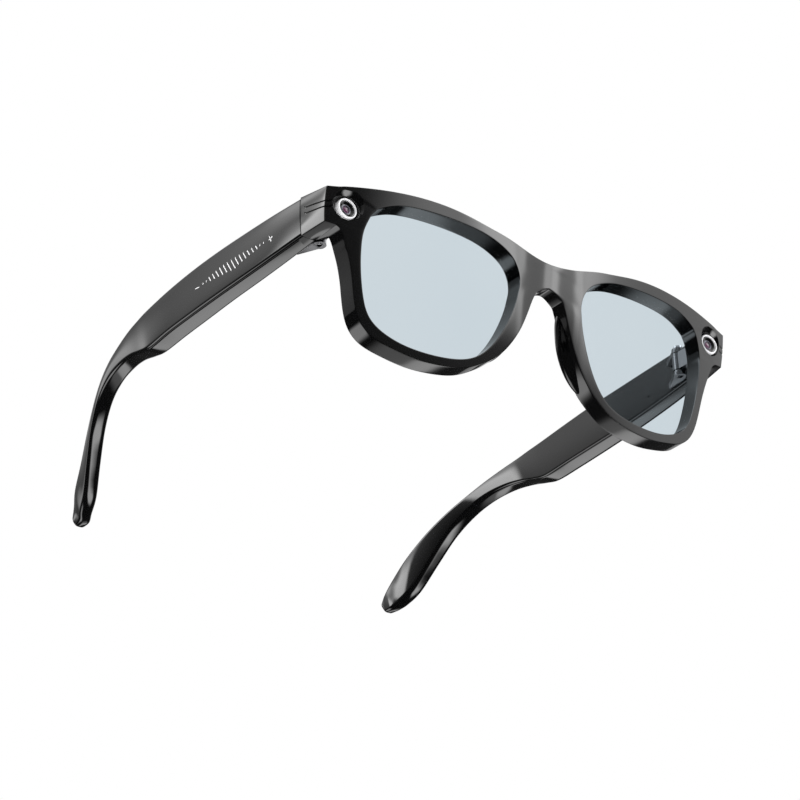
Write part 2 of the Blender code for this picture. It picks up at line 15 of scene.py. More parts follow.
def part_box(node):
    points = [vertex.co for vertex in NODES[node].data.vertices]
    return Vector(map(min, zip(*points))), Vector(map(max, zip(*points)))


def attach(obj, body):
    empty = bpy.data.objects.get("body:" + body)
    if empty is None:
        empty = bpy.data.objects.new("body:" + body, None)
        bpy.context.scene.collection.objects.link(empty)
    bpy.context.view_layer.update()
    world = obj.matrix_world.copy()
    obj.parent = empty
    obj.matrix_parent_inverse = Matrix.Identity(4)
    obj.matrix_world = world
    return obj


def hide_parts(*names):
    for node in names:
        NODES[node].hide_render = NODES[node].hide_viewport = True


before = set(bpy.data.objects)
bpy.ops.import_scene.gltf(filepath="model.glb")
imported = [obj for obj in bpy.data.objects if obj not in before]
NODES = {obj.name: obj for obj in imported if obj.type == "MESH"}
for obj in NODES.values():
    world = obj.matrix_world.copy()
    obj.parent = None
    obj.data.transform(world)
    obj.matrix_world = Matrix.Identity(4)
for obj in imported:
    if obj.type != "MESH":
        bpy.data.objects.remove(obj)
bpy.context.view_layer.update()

# %% [markdown]
# Every size here is in millimetres in the front's own axes, as an optician would measure it: x runs
# to the wearer's left, y runs back along the temples, z runs up, and zero lies halfway between the
# two cameras. The loaded model says where that zero is, through the hinge screw and the camera.

# %% Axes of the front
MM = 0.001
HINGE_X, HINGE_Y = 67.3, 14.6
LEFT, RIGHT = 1, -1
SIDES = (("left", LEFT), ("right", RIGHT))


def centre_of(node):
    low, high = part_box(node)
    return (low + high) / 2


ORIGIN = Vector((0, centre_of("hinge_screw_left").y - HINGE_Y * MM, centre_of("camera_ring_left").z))


def at(x, y, z):
    """A point of the front's axes, in metres in the model's frame."""
    return ORIGIN + Vector((x, y, z)) * MM


print("front axes start at", [round(value, 4) for value in ORIGIN])

# %% [markdown]
# The camera comes first. It stands low, in front and to the wearer's right, and looks up, with a
# long lens so that the far temple keeps its size.

# %% Camera
camera_data = bpy.data.cameras.new("view_camera")
camera_data.lens = 122.85
camera_data.sensor_width = 36
camera_data.clip_start, camera_data.clip_end = 0.05, 50
camera = bpy.data.objects.new("view_camera", camera_data)
camera.location = (-0.4489, -0.5750, -0.3633)
camera.rotation_euler = [math.radians(angle) for angle in (118.461, 2.010, -37.287)]
bpy.context.scene.collection.objects.link(camera)
bpy.context.scene.camera = camera

# %% [markdown]
# A few helpers carry the edit-mode work. A ring of vertices starts as a circle primitive, is moved
# onto an outline, and grows by extruding its edge loop and placing the new loop on the next
# outline. That is how the rims, the lenses and the temples are all made.


# %% Edit-mode helpers
def deselect():
    if bpy.context.object and bpy.context.object.mode != "OBJECT":
        bpy.ops.object.mode_set(mode="OBJECT")
    bpy.ops.object.select_all(action="DESELECT")


def focus(obj):
    deselect()
    obj.select_set(True)
    bpy.context.view_layer.objects.active = obj


def apply_modifiers(obj):
    focus(obj)
    for modifier in list(obj.modifiers):
        bpy.ops.object.modifier_apply(modifier=modifier.name)
    return obj


def settle(obj):
    """Puts the object's place into its mesh."""
    focus(obj)
    bpy.ops.object.transform_apply(location=True, rotation=True, scale=True)
    return obj


def face_outwards(obj):
    focus(obj)
    bpy.ops.object.mode_set(mode="EDIT")
    bpy.ops.mesh.select_all(action="SELECT")
    bpy.ops.mesh.remove_doubles(threshold=0.000002)
    bpy.ops.mesh.normals_make_consistent(inside=False)
    bpy.ops.object.mode_set(mode="OBJECT")
    return obj


def ring_of(name, points):
    """A circle primitive whose vertices are moved onto the points."""
    deselect()
    bpy.ops.mesh.primitive_circle_add(vertices=len(points), radius=0.01, fill_type="NOTHING")
    obj = bpy.context.object
    obj.name = obj.data.name = name
    for vertex, point in zip(obj.data.vertices, points):
        vertex.co = point
    return obj


def place_selected(obj, old, new):
    """Moves each selected vertex from the old point that it sits on to the new one."""
    tree = KDTree(len(old))
    for i, point in enumerate(old):
        tree.insert(point, i)
    tree.balance()
    for vertex in obj.data.vertices:
        if vertex.select:
            vertex.co = new[tree.find(vertex.co)[1]]


def grow(obj, old, new):
    """Extrudes the selected loop or region, and places what it made on the new points."""
    focus(obj)
    bpy.ops.object.mode_set(mode="EDIT")
    bpy.ops.mesh.extrude_region_move()
    bpy.ops.object.mode_set(mode="OBJECT")
    place_selected(obj, old, new)


def select_all_of(obj):
    focus(obj)
    bpy.ops.object.mode_set(mode="EDIT")
    bpy.ops.mesh.select_all(action="SELECT")
    bpy.ops.object.mode_set(mode="OBJECT")


def cap(obj):
    """Closes the selected loop with a face."""
    focus(obj)
    bpy.ops.object.mode_set(mode="EDIT")
    bpy.ops.mesh.edge_face_add()
    bpy.ops.object.mode_set(mode="OBJECT")


def add_subdivision(obj, levels):
    modifier = obj.modifiers.new("smooth", "SUBSURF")
    modifier.levels = modifier.render_levels = levels
    return modifier


def add_bevel(obj, width, segments, angle=30):
    modifier = obj.modifiers.new("edges", "BEVEL")
    modifier.width = width * MM
    modifier.segments = segments
    modifier.limit_method = "ANGLE"
    modifier.angle_limit = math.radians(angle)
    modifier.use_clamp_overlap = True
    return modifier


def cut(obj, tool, operation="DIFFERENCE"):
    """Cuts one mesh with another, and removes the tool."""
    modifier = obj.modifiers.new("cut", "BOOLEAN")
    modifier.operation = operation
    modifier.solver = "EXACT"
    modifier.object = tool
    focus(obj)
    bpy.ops.object.modifier_apply(modifier=modifier.name)
    bpy.data.objects.remove(tool)
    return obj


def smooth_shading(obj, angle=30):
    focus(obj)
    bpy.ops.object.shade_smooth_by_angle(angle=math.radians(angle))
    return obj


def mirrored(obj, name):
    """A copy with its own mesh, on the wearer's other side."""
    copy = obj.copy()
    copy.data = obj.data.copy()
    copy.name = copy.data.name = name
    bpy.context.scene.collection.objects.link(copy)
    copy.scale.x = -1
    settle(copy)
    return face_outwards(copy)


def bar(name, start, end, radius, sides=64):
    """A cylinder from one point to another, both in millimetres."""
    start, end = at(*start), at(*end)
    deselect()
    bpy.ops.mesh.primitive_cylinder_add(
        vertices=sides, radius=radius * MM, depth=(end - start).length, location=(start + end) / 2
    )
    obj = bpy.context.object
    obj.name = obj.data.name = name
    obj.rotation_euler = (end - start).to_track_quat("Z", "Y").to_euler()
    return settle(obj)


def block(name, low, high):
    """A box between two corners, in millimetres."""
    low, high = at(*low), at(*high)
    deselect()
    bpy.ops.mesh.primitive_cube_add(size=1, location=(low + high) / 2)
    obj = bpy.context.object
    obj.name = obj.data.name = name
    obj.scale = [abs(value) for value in high - low]
    return settle(obj)


def smooth(rows, place):
    """A smooth curve through (position, value, ...) rows, read at one position."""
    last = len(rows) - 1
    i = min(max(sum(1 for row in rows if row[0] <= place) - 1, 0), last - 1)
    p0, p1 = rows[max(i - 1, 0)], rows[i]
    p2, p3 = rows[i + 1], rows[min(i + 2, last)]
    t = (place - p1[0]) / (p2[0] - p1[0])
    values = []
    for a, b, c, d in zip(p0[1:], p1[1:], p2[1:], p3[1:]):
        values.append(
            b * (2 * t**3 - 3 * t**2 + 1)
            + (c - a) / 2 * (t**3 - 2 * t**2 + t)
            + c * (3 * t**2 - 2 * t**3)
            + (d - b) / 2 * (t**3 - t**2)
        )
    return values


# %% [markdown]
# ## Finishes
#
# The frame is injection-moulded plastic, polished until it mirrors the room. Real polish is never
# perfect: a faint waviness is left by the mould, and handling leaves areas that mirror a little
# less. Both are drawn by noise on object coordinates, so they stay where they are on the piece.


# %% Polished and satin plastics
def new_material(name):
    material = bpy.data.materials.new(name)
    material.use_nodes = True
    tree = material.node_tree
    return material, tree, tree.nodes["Principled BSDF"]


def noise(tree, scale, detail=2.0):
    coordinates = tree.nodes.new("ShaderNodeTexCoord")
    texture = tree.nodes.new("ShaderNodeTexNoise")
    texture.inputs["Scale"].default_value = scale
    texture.inputs["Detail"].default_value = detail
    tree.links.new(coordinates.outputs["Object"], texture.inputs["Vector"])
    return texture.outputs["Fac"]


def between(tree, factor, low, high):
    """Turns a 0 to 1 pattern into a range of values."""
    node = tree.nodes.new("ShaderNodeMapRange")
    node.inputs["To Min"].default_value = low
    node.inputs["To Max"].default_value = high
    tree.links.new(factor, node.inputs["Value"])
    return node.outputs["Result"]


def tint(tree, factor, dark, light):
    node = tree.nodes.new("ShaderNodeMix")
    node.data_type = "RGBA"
    tree.links.new(factor, node.inputs["Factor"])
    node.inputs["A"].default_value = (*dark, 1)
    node.inputs["B"].default_value = (*light, 1)
    return node.outputs["Result"]


def bump(tree, shader, height, distance, strength):
    node = tree.nodes.new("ShaderNodeBump")
    node.inputs["Distance"].default_value = distance
    node.inputs["Strength"].default_value = strength
    tree.links.new(height, node.inputs["Height"])
    tree.links.new(node.outputs["Normal"], shader.inputs["Normal"])


def moulded(name, dark, light, roughness, grain, wave=0.0):
    """A moulded plastic: colour and gloss that wander a little, and a fine surface."""
    material, tree, shader = new_material(name)
    wander = noise(tree, 60, 3)
    tree.links.new(tint(tree, wander, dark, light), shader.inputs["Base Color"])
    tree.links.new(between(tree, noise(tree, 220, 4), *roughness), shader.inputs["Roughness"])
    bump(tree, shader, noise(tree, grain, 2), 0.00002, wave)
    return material


GLOSS_BLACK = moulded(
    "gloss_black_moulding", (0.0008, 0.0008, 0.0009), (0.0014, 0.0014, 0.0016), (0.05, 0.085), 350, 0.015
)
SATIN_BLACK = moulded(
    "satin_black_moulding", (0.010, 0.010, 0.011), (0.016, 0.016, 0.017), (0.34, 0.46), 6000, 0.5
)
WHITE_TRIM = moulded("white_trim", (0.80, 0.80, 0.82), (0.88, 0.88, 0.89), (0.18, 0.28), 900, 0.05)
PRINT_WHITE = moulded("white_print", (0.72, 0.72, 0.73), (0.80, 0.80, 0.80), (0.35, 0.5), 9000, 0.2)


# %% Metals, glass, board and foil
def brushed(name, dark, light, roughness):
    material, tree, shader = new_material(name)
    shader.inputs["Metallic"].default_value = 1.0
    streaks = noise(tree, 2500, 5)
    tree.links.new(tint(tree, streaks, dark, light), shader.inputs["Base Color"])
    tree.links.new(between(tree, streaks, *roughness), shader.inputs["Roughness"])
    bump(tree, shader, streaks, 0.00001, 0.3)
    return material


HINGE_BLACK = brushed("black_coated_steel", (0.10, 0.10, 0.105), (0.16, 0.16, 0.165), (0.24, 0.36))
SCREW_STEEL = brushed("screw_steel", (0.38, 0.38, 0.40), (0.55, 0.55, 0.57), (0.2, 0.34))
LENS_RING = brushed("lens_ring_grey", (0.20, 0.20, 0.24), (0.26, 0.26, 0.31), (0.3, 0.45))
GOLD = brushed("gold_contact", (0.70, 0.48, 0.18), (0.86, 0.62, 0.27), (0.18, 0.3))
FOIL = brushed("battery_foil", (0.55, 0.55, 0.57), (0.70, 0.70, 0.72), (0.25, 0.45))
BOARD = moulded("solder_mask_green", (0.01, 0.07, 0.03), (0.02, 0.13, 0.05), (0.3, 0.5), 3000, 0.4)
FLEX = moulded("flex_film_amber", (0.30, 0.11, 0.015), (0.48, 0.2, 0.03), (0.25, 0.4), 1500, 0.2)


def clear_lens_material():
    """A thin tinted lens: what is behind it shows through, and its surface mirrors a little."""
    material, tree, shader = new_material("tinted_clear_lens")
    output = tree.nodes["Material Output"]
    clear = tree.nodes.new("ShaderNodeBsdfTransparent")
    tree.links.new(
        tint(tree, noise(tree, 25, 1), (0.765, 0.815, 0.845), (0.79, 0.835, 0.86)), clear.inputs["Color"]
    )
    shader.inputs["Base Color"].default_value = (0.02, 0.03, 0.035, 1)
    tree.links.new(between(tree, noise(tree, 120, 2), 0.02, 0.05), shader.inputs["Roughness"])
    facing = tree.nodes.new("ShaderNodeLayerWeight")
    facing.inputs["Blend"].default_value = 0.5
    steep = tree.nodes.new("ShaderNodeMath")
    steep.operation = "POWER"
    tree.links.new(facing.outputs["Facing"], steep.inputs[0])
    steep.inputs[1].default_value = 5
    mix = tree.nodes.new("ShaderNodeMixShader")
    tree.links.new(between(tree, steep.outputs["Value"], 0.008, 0.6), mix.inputs["Fac"])
    tree.links.new(clear.outputs["BSDF"], mix.inputs[1])
    tree.links.new(shader.outputs["BSDF"], mix.inputs[2])
    tree.links.new(mix.outputs["Shader"], output.inputs["Surface"])
    return material


def glass_with_painted_glint_material():
    """A small camera lens, near black, whose base colour holds a painted green and pink glint of its
    coating.
    """
    material, tree, shader = new_material("camera_glass_painted_glint")
    edge = tree.nodes.new("ShaderNodeLayerWeight")
    edge.inputs["Blend"].default_value = 0.35
    # Painted glint: the base colour turns from pink where the dome faces the view to green towards its
    # rim.
    painted_glint_colour = tint(tree, edge.outputs["Facing"], (0.12, 0.03, 0.08), (0.03, 0.10, 0.07))
    tree.links.new(painted_glint_colour, shader.inputs["Base Color"])
    tree.links.new(between(tree, noise(tree, 800, 2), 0.03, 0.07), shader.inputs["Roughness"])
    return material


CLEAR_LENS = clear_lens_material()
CAMERA_GLASS = glass_with_painted_glint_material()
print("finishes:", sorted(m.name for m in bpy.data.materials))


def dress(obj, material, body, slot, *replaced):
    """Gives a finished piece its finish, its body and the nodes that it stands for."""
    obj.data.materials.clear()
    obj.data.materials.append(material)
    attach(obj, body)
    if replaced:
        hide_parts(*replaced)
    print(obj.name, len(obj.data.polygons), "faces")
    return obj


# %% [markdown]
# ## The front
#
# The front is one moulding that bends round the head and leans back towards its lower edge, so its
# face is a formula: how far back it lies at each place. The rim is described by stations round a
# lens opening. Each gives a point of the opening and the point of the outer edge that faces it.

# %% Outline of the front
FACE_START, FACE_BEND, FACE_WRAP, FACE_LEAN = -6.25, 1.256e-3, 0.558e-7, -0.214
FACE_DOME, DOME_LEVEL = 0.0009, -13.0
BRIDGE_HOLLOW, BRIDGE_HALF = 1.3, 12.5
RIM_DEPTH = 5.5
SEAM_Y = 12.4
ENDPIECE_FOOT, ENDPIECE_INSIDE = 68.6, 69.8
SMOOTH, CORNER = 0, 1
RIM_STATIONS = (
    (62.5, -9.0, 67.2, -10.6, SMOOTH),
    (62.3, -6.4, 68.6, -7.2, SMOOTH),
    (62.0, -4.9, 70.3, -5.6, SMOOTH),
    (61.6, -3.6, 73.6, -5.1, CORNER),
    (60.9, -1.8, 74.1, 0.2, SMOOTH),
    (60.2, -0.4, 74.0, 5.2, CORNER),
    (59.2, 0.7, 70.3, 5.6, SMOOTH),
    (58.2, 1.7, 68.2, 6.1, SMOOTH),
    (53.0, 3.8, 58.6, 7.3, SMOOTH),
    (47.5, 4.5, 50.5, 7.9, SMOOTH),
    (42.0, 4.6, 43.0, 8.0, SMOOTH),
    (36.0, 4.4, 36.0, 7.6, SMOOTH),
    (30.0, 3.9, 29.5, 6.7, SMOOTH),
    (24.0, 3.0, 23.0, 5.4, SMOOTH),
    (18.5, 1.2, 16.5, 4.2, SMOOTH),
    (14.5, -1.2, 8.5, 2.1, SMOOTH),
    (12.4, -4.0, 0.0, 1.6, CORNER),
    (11.6, -6.4, 0.0, -2.0, SMOOTH),
    (11.4, -8.6, 0.0, -5.5, CORNER),
    (11.8, -11.0, 4.7, -8.2, SMOOTH),
    (12.3, -13.8, 6.9, -13.6, SMOOTH),
    (13.9, -18.7, 9.2, -19.9, SMOOTH),
    (16.6, -24.4, 12.5, -25.8, SMOOTH),
    (19.8, -29.0, 16.5, -30.6, SMOOTH),
    (23.7, -32.5, 21.4, -33.9, SMOOTH),
    (28.6, -34.5, 27.0, -36.6, SMOOTH),
    (35.0, -35.4, 34.0, -37.8, SMOOTH),
    (42.0, -35.4, 42.0, -38.0, SMOOTH),
    (48.4, -34.5, 49.8, -36.7, SMOOTH),
    (54.2, -32.4, 56.9, -34.6, SMOOTH),
    (58.1, -29.4, 61.1, -30.7, SMOOTH),
    (60.2, -25.0, 63.2, -25.2, SMOOTH),
    (61.6, -19.0, 64.5, -19.0, SMOOTH),
    (62.3, -13.8, 65.9, -14.0, SMOOTH),
)
# Stations whose back reaches to the seam with the temple: the outer edge's x and z there.
SEAM_EDGE = ((2, 70.0, -5.4), (3, 74.9, -5.6), (4, 75.0, 0.5), (5, 74.9, 6.8), (6, 70.0, 6.6))
STEPS = 2


def face_y(x, z):
    bend = FACE_BEND * x**2 + FACE_WRAP * x**4
    return FACE_START + bend + FACE_LEAN * z + FACE_DOME * (z - DOME_LEVEL) ** 2


def bridge_relief(x):
    """The bridge is hollowed a little between the rims."""
    if abs(x) > BRIDGE_HALF:
        return 0.0
    return BRIDGE_HOLLOW * math.cos(math.pi * x / (2 * BRIDGE_HALF)) ** 2


def on_face(x, z, depth=0.0):
    return at(x, face_y(x, z) + depth, z)


def curve_point(points, corners, i, t):
    """A smooth point after point i of a closed outline, with its tangent broken at corners."""
    n = len(points)
    p1, p2 = points[i], points[(i + 1) % n]
    p0 = p1 + (p1 - p2) if corners[i] else points[i - 1]
    p3 = p2 + (p2 - p1) if corners[(i + 1) % n] else points[(i + 2) % n]
    return (
        p1 * (2 * t**3 - 3 * t**2 + 1)
        + (p2 - p0) / 2 * (t**3 - 2 * t**2 + t)
        + p2 * (3 * t**2 - 2 * t**3)
        + (p3 - p1) / 2 * (t**3 - t**2)
    )


def outlines(steps):
    """Matching points of the opening and of the outer edge, with their place in the stations."""
    inner = [Vector(row[0:2]) for row in RIM_STATIONS]
    outer = [Vector(row[2:4]) for row in RIM_STATIONS]
    marks = [row[4] for row in RIM_STATIONS]
    plain = [SMOOTH] * len(marks)
    found = []
    for i in range(len(marks)):
        for step in range(steps):
            t = step / steps
            found.append(
                (i + t, curve_point(inner, plain, i, t), curve_point(outer, marks, i, t))
            )
    return found


def rim_rows():
    """Four rows of points across the rim, in front and at the back."""
    front = [[] for _ in range(4)]
    back = [[] for _ in range(4)]
    for place, inner, outer in outlines(STEPS):
        in_seam = SEAM_EDGE[0][0] <= place <= SEAM_EDGE[-1][0]
        shares = [0.0, 1 / 3, 2 / 3, 1.0]
        if in_seam:
            width = outer.x - inner.x
            shares[1] = (ENDPIECE_FOOT - inner.x) / width
            shares[2] = (ENDPIECE_INSIDE - inner.x) / width
            seam_x, seam_z = smooth(SEAM_EDGE, place)
        for row, share in enumerate(shares):
            x, z = inner.lerp(outer, min(share, 1.0))
            front[row].append(on_face(x, z, bridge_relief(x)))
            if in_seam and row == 3:
                back[row].append(at(seam_x, SEAM_Y, seam_z))
            elif in_seam and row == 2:
                back[row].append(at(min(x, ENDPIECE_INSIDE), SEAM_Y, z + (seam_z - outer.y) * share))
            else:
                back[row].append(on_face(x, z, RIM_DEPTH))
    return front, back


# %% [markdown]
# The face starts as a circle laid on the opening and is extruded outwards row by row to the outer
# edge. The whole face is then extruded back to give the rim its depth, and the corner blocks reach
# further back to meet the temples. A mirror makes the other half, a bevel softens each edge, and a
# subdivision surface rounds the whole so that its reflections flow.


# %% The front moulding
def weigh_edges(obj):
    """Gives each sharp edge its share of the widest rounding."""
    mesh = bmesh.new()
    mesh.from_mesh(obj.data)
    weights = mesh.edges.layers.float.new("bevel_weight_edge")
    seam = at(0, SEAM_Y, 0).y - 1e-6
    front_corner = at(73.4, 0, 0).x
    for edge in mesh.edges:
        if len(edge.link_faces) != 2 or edge.calc_face_angle() < math.radians(28):
            continue
        middle = (edge.verts[0].co + edge.verts[1].co) / 2
        if middle.y > seam:
            edge[weights] = 0.1
        elif middle.x > front_corner and abs(edge.verts[0].co.z - edge.verts[1].co.z) > 1 * MM:
            edge[weights] = 1.0
        else:
            edge[weights] = 0.42
    mesh.to_mesh(obj.data)
    mesh.free()


def make_front():
    front_rows, back_rows = rim_rows()
    front = ring_of("front_moulding", front_rows[0])
    select_all_of(front)
    for before, after in zip(front_rows, front_rows[1:]):
        grow(front, before, after)
    select_all_of(front)
    grow(front, sum(front_rows, []), sum(back_rows, []))
    focus(front)
    bpy.ops.object.mode_set(mode="EDIT")
    bpy.ops.mesh.select_mode(type="FACE")
    bpy.ops.mesh.select_all(action="DESELECT")
    bpy.ops.object.mode_set(mode="OBJECT")
    middle = 1e-7
    for face in front.data.polygons:
        face.select = all(abs(front.data.vertices[i].co.x) < middle for i in face.vertices)
    bpy.ops.object.mode_set(mode="EDIT")
    bpy.ops.mesh.delete(type="FACE")
    bpy.ops.mesh.select_mode(type="VERT")
    bpy.ops.object.mode_set(mode="OBJECT")
    face_outwards(front)
    weigh_edges(front)
    mirror = front.modifiers.new("other_half", "MIRROR")
    mirror.use_clip = True
    mirror.merge_threshold = 0.00005
    bevel = add_bevel(front, 1.5, 2)
    bevel.limit_method = "WEIGHT"
    add_subdivision(front, 2)
    return apply_modifiers(front)


front = make_front()

# %% [markdown]
# Each camera looks out of an oval hollow with a sloping lip, sunk into the front. Its cutter is a stack
# of circles extruded from the floor of the hollow outwards, each a little wider than the last.

# %% Camera hollows
CAMERA_X = 67.3
# Depth behind the face, half width and half height of each level.
HOLLOW = ((2.9, 3.30, 3.30), (1.5, 3.5, 3.45), (0.7, 3.9, 3.65), (0.3, 4.25, 3.85), (-0.9, 5.6, 5.1))
FACE_SLOPE, FLOOR_SLOPE = 0.237, 0.1


def oval(side, depth, wide, tall, count=56):
    """Points of an oval round the camera's axis, at a depth behind the face."""
    y = face_y(CAMERA_X, 0) + depth
    turns = [2 * math.pi * i / count for i in range(count)]
    slope = FACE_SLOPE if depth < 1 else FLOOR_SLOPE
    return [
        at(side * (CAMERA_X + wide * math.cos(t)), y + slope * wide * math.cos(t), tall * math.sin(t))
        for t in turns
    ]


for label, side in SIDES:
    rows = [oval(side, *level) for level in HOLLOW]
    hollow = ring_of(f"hollow_{label}", rows[0])
    select_all_of(hollow)
    cap(hollow)
    select_all_of(hollow)
    for before, after in zip(rows, rows[1:]):
        grow(hollow, before, after)
    cut(front, face_outwards(hollow))

# %% [markdown]
# Two fine grooves run along the side of each corner block and turn the corner on to the front. A
# thin tube laid half into the surface cuts them. Its path is snapped to the moulding first.

# %% Side grooves
# Points of each groove on the wearer's left, snapped to the surface before they are used.
GROOVES = (
    ((75, 10.6, 2.9), (75, 10.5, 2.4), (74.6, 7.0, 1.75), (74.2, 4.0, 1.1), (74.0, 3.1, 0.9),
     (73.8, 2.5, 0.8), (73.3, 2.1, 0.8), (72.8, 1.8, 0.9), (72.3, 1.5, 1.3)),
    ((75, 10.6, 1.0), (75, 10.5, 0.5), (74.6, 7.0, -0.1), (74.2, 4.0, -0.6), (74.0, 3.1, -0.8),
     (73.8, 2.5, -0.9), (73.3, 2.1, -0.9), (72.8, 1.8, -0.8), (72.2, 1.5, -0.4)),
)
GROOVE_RADIUS = 0.24


def tube(name, path, radius, sides=8):
    """A tube along points in metres, closed at both ends."""
    rows = []
    for i, point in enumerate(path):
        along = (path[min(i + 1, len(path) - 1)] - path[max(i - 1, 0)]).normalized()
        up = along.cross(Vector((0, 0, 1))).normalized()
        over = along.cross(up)
        turns = [2 * math.pi * k / sides for k in range(sides)]
        rows.append([point + radius * (up * math.cos(t) + over * math.sin(t)) for t in turns])
    obj = ring_of(name, rows[0])
    select_all_of(obj)
    cap(obj)
    select_all_of(obj)
    for before, after in zip(rows, rows[1:]):
        grow(obj, before, after)
    return face_outwards(obj)


for label, side in SIDES:
    for number, groove in enumerate(GROOVES):
        path = [front.closest_point_on_mesh(at(side * x, y, z))[1] for x, y, z in groove]
        cut(front, tube(f"groove_{label}_{number}", path, GROOVE_RADIUS * MM))
smooth_shading(front, 32)
dress(front, GLOSS_BLACK, "front", "gloss_black", "front_frame")
print("front:", [round(size / MM, 1) for size in front.dimensions], "mm")

# %% [markdown]
# A lens is a thin bent plate whose edge sits in a groove of the rim. It grows from a small ring at
# its middle out to the edge, so that its faces follow the bend, and is then extruded to a plate.

# %% The lenses
LENS_SETBACK, LENS_THICKNESS, LENS_BITE = 2.1, 1.6, 0.6


def lens_outline(grow_by):
    points = [inner for _, inner, _ in outlines(STEPS)]
    middle = sum(points, Vector((0, 0))) / len(points)
    grown = []
    for i, point in enumerate(points):
        along = points[(i + 1) % len(points)] - points[i - 1]
        outward = Vector((along.y, -along.x)).normalized()
        if outward.dot(point - middle) < 0:
            outward.negate()
        grown.append(point + outward * grow_by)
    return middle, grown


def lens_plate(name, grow_by, setback, thickness, rings=6):
    middle, outline = lens_outline(grow_by)
    rows = []
    for ring in range(rings, 0, -1):
        flat = [middle.lerp(point, ring / rings) for point in outline]
        rows.append([on_face(p.x, p.y, setback) for p in flat])
    plate = ring_of(name, rows[0])
    select_all_of(plate)
    for before, after in zip(rows, rows[1:]):
        grow(plate, before, after)
    cap(plate)
    select_all_of(plate)
    focus(plate)
    bpy.ops.object.mode_set(mode="EDIT")
    bpy.ops.mesh.extrude_region_move(TRANSFORM_OT_translate={"value": (0, thickness * MM, 0)})
    bpy.ops.object.mode_set(mode="OBJECT")
    return face_outwards(plate)


lens_left = lens_plate("lens_plate_left", LENS_BITE - 0.1, LENS_SETBACK, LENS_THICKNESS)
smooth_shading(lens_left, 40)
lens_right = mirrored(lens_left, "lens_plate_right")
dress(lens_left, CLEAR_LENS, "front", "clear_lens", "lens_left")
dress(lens_right, CLEAR_LENS, "front", "clear_lens", "lens_right")

# %% [markdown]
# ## The temples
#
# A temple is flat and deep where it holds the electronics, steps up behind them, and thins into
# the hook that goes over the ear. Its stations are read from the side: the top edge, the bottom
# edge, the outer face and the thickness. A rounded ring is extruded from one to the next.

# %% Temple stations
TEMPLE_STATIONS = (
    (12.7, 6.7, 12.7, -5.6, 75.0, 5.3),
    (24.0, 7.0, 24.0, -6.3, 76.1, 5.8),
    (36.0, 7.2, 36.0, -6.8, 77.0, 6.1),
    (49.0, 7.3, 49.0, -7.1, 77.8, 6.3),
    (61.0, 7.1, 61.0, -7.3, 78.3, 6.6),
    (73.5, 6.4, 73.5, -7.5, 78.6, 6.7),
    (85.5, 5.5, 84.0, -7.8, 78.4, 6.4),
    (91.8, 5.0, 89.5, -6.7, 77.9, 6.0),
    (97.5, 4.3, 95.9, -5.0, 77.4, 5.8),
    (104.4, 3.2, 103.2, -4.1, 76.4, 5.7),
    (111.8, 1.6, 111.8, -4.6, 75.1, 5.6),
    (119.2, -0.8, 120.4, -7.4, 73.2, 5.3),
    (127.0, -4.2, 128.2, -13.0, 70.7, 5.1),
    (135.2, -9.2, 134.9, -21.2, 67.9, 5.0),
    (143.2, -15.8, 140.8, -29.0, 65.2, 4.9),
    (149.6, -21.9, 145.4, -32.2, 63.4, 4.5),
    (152.6, -26.2, 148.2, -33.4, 61.9, 4.0),
    (154.4, -29.2, 151.4, -33.4, 61.2, 3.4),
)
BELLY = 0.2
ROUNDING = ((0, 1.0), (7, 1.0), (11, 1.5), (15, 1.9), (17, 1.4))
STATION_STEPS = 5
CORNER_ARC = (0, 15, 30, 45, 60, 75, 90)


def temple_station(place):
    rows = [(i, *row) for i, row in enumerate(TEMPLE_STATIONS)]
    top_y, top_z, low_y, low_z, outer, thick = smooth(rows, place)
    return Vector((top_y, top_z)), Vector((low_y, low_z)), outer, thick


def temple_ring(place):
    """A rounded section of the wearer's left temple, from the outer lower corner upwards."""
    top, low, outer, thick = temple_station(place)
    tall = (top - low).length
    radius = min(smooth(ROUNDING, place)[0], 0.46 * thick, 0.46 * tall)
    corners = (
        (outer - radius, tall - radius, 270),
        (outer - radius, radius, 0),
        (outer - thick + radius, radius, 90),
        (outer - thick + radius, tall - radius, 180),
    )
    ring = []
    for x, down, start in corners:
        for angle in CORNER_ARC:
            turn = math.radians(start + angle)
            ring.append((x + radius * math.cos(turn), down - radius * math.sin(turn)))
        if start == 270:
            for share in (0.8, 0.6, 0.4, 0.2):
                bulge = BELLY * math.sin(math.pi * share)
                ring.append((outer + bulge, radius + share * (tall - 2 * radius)))
    return [at(x, *top.lerp(low, down / tall)) for x, down in ring]


def make_temple_skin(name):
    count = (len(TEMPLE_STATIONS) - 1) * STATION_STEPS
    rings = [temple_ring(i / STATION_STEPS) for i in range(count + 1)]
    skin = ring_of(name, rings[0])
    select_all_of(skin)
    cap(skin)
    select_all_of(skin)
    for before, after in zip(rings, rings[1:]):
        grow(skin, before, after)
    # The tip closes in a dome: the last section is inset and pushed out three times.
    last = rings[-1]
    middle = sum(last, Vector()) / len(last)
    onward = (middle - sum(rings[-2], Vector()) / len(last)).normalized()
    before = last
    for shrink, push in ((0.86, 0.45), (0.58, 0.85), (0.22, 1.05)):
        after = [middle + (point - middle) * shrink + onward * push * MM for point in last]
        grow(skin, before, after)
        before = after
    cap(skin)
    return face_outwards(skin)


temple_left = make_temple_skin("temple_moulding_left")

# %% [markdown]
# The skin is closed from below by a cover, so a fine seam runs along its lower outer edge. A thin
# tube laid half into the surface cuts it. The wearer's left temple also has the small hole of a
# microphone on its inner face.

